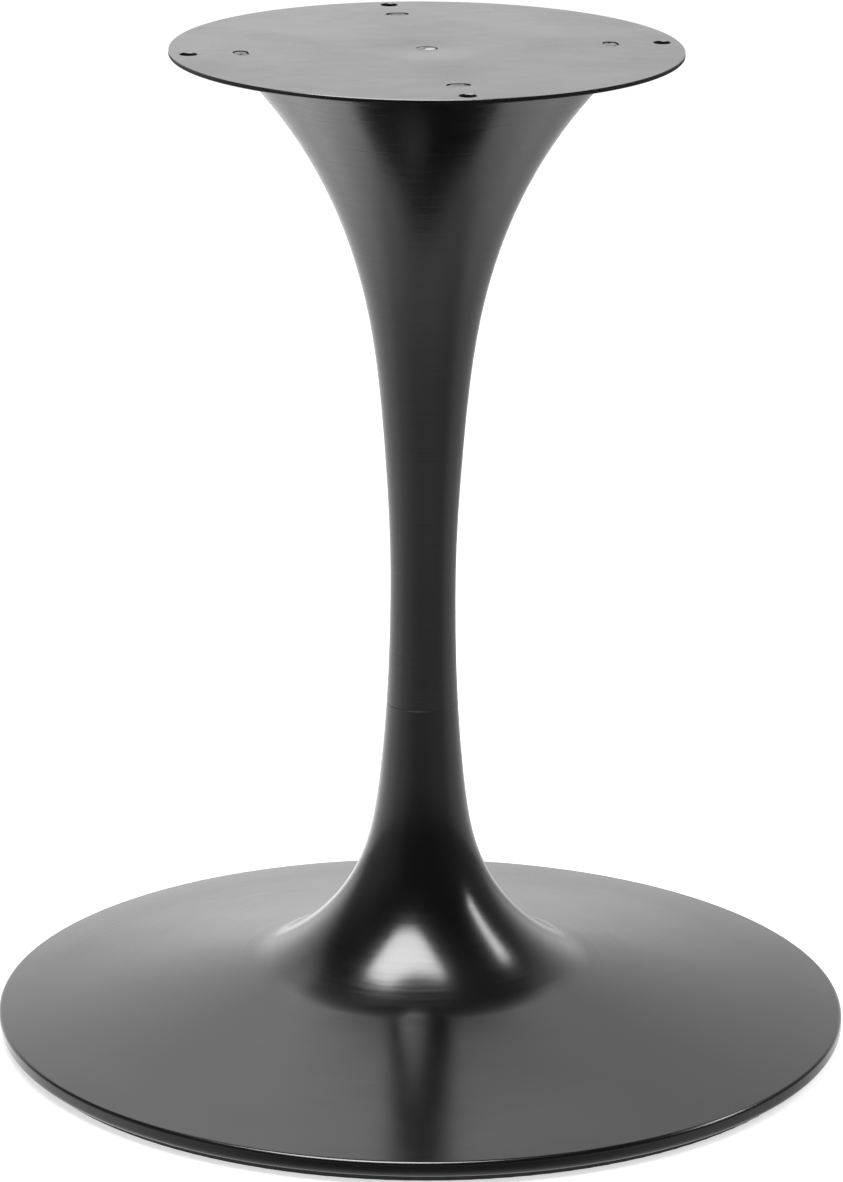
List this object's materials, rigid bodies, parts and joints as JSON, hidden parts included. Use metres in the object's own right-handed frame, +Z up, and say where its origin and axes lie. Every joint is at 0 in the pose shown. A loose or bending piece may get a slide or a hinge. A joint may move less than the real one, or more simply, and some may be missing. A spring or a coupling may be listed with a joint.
{
  "type": "table base",
  "caption": "Round trumpet-shaped pedestal table base with a wide sloping foot, a narrow waist and a flat round top plate.",
  "frame": {"origin": "centre of the foot ring's underside, on the floor", "axes": "+Z up the middle of the column, towards the top plate; the bolt holes lie on X and Y"},
  "size_m": [0.6, 0.5998, 0.705],
  "materials": {
    "satin_black_steel": "satin black paint over spun steel",
    "painted_weld": "painted weld bead",
    "zinc_steel": "bright zinc plating",
    "turned_steel": "turned, oiled",
    "cast_iron": "as cast, primed",
    "black_rubber": "matt extruded rubber"
  },
  "bodies": {
    "root": {"top_plate": "satin_black_steel", "slot_welds": "painted_weld", "rod_weld": "painted_weld", "tie_rod": "zinc_steel", "column": "satin_black_steel", "centring_bush": "turned_steel", "base_shell": "satin_black_steel", "foot_ring": "black_rubber", "ballast_disc": "cast_iron", "clamp_washer": "zinc_steel", "lock_washer": "zinc_steel", "clamp_nut": "zinc_steel"}
  },
  "joints": []
}
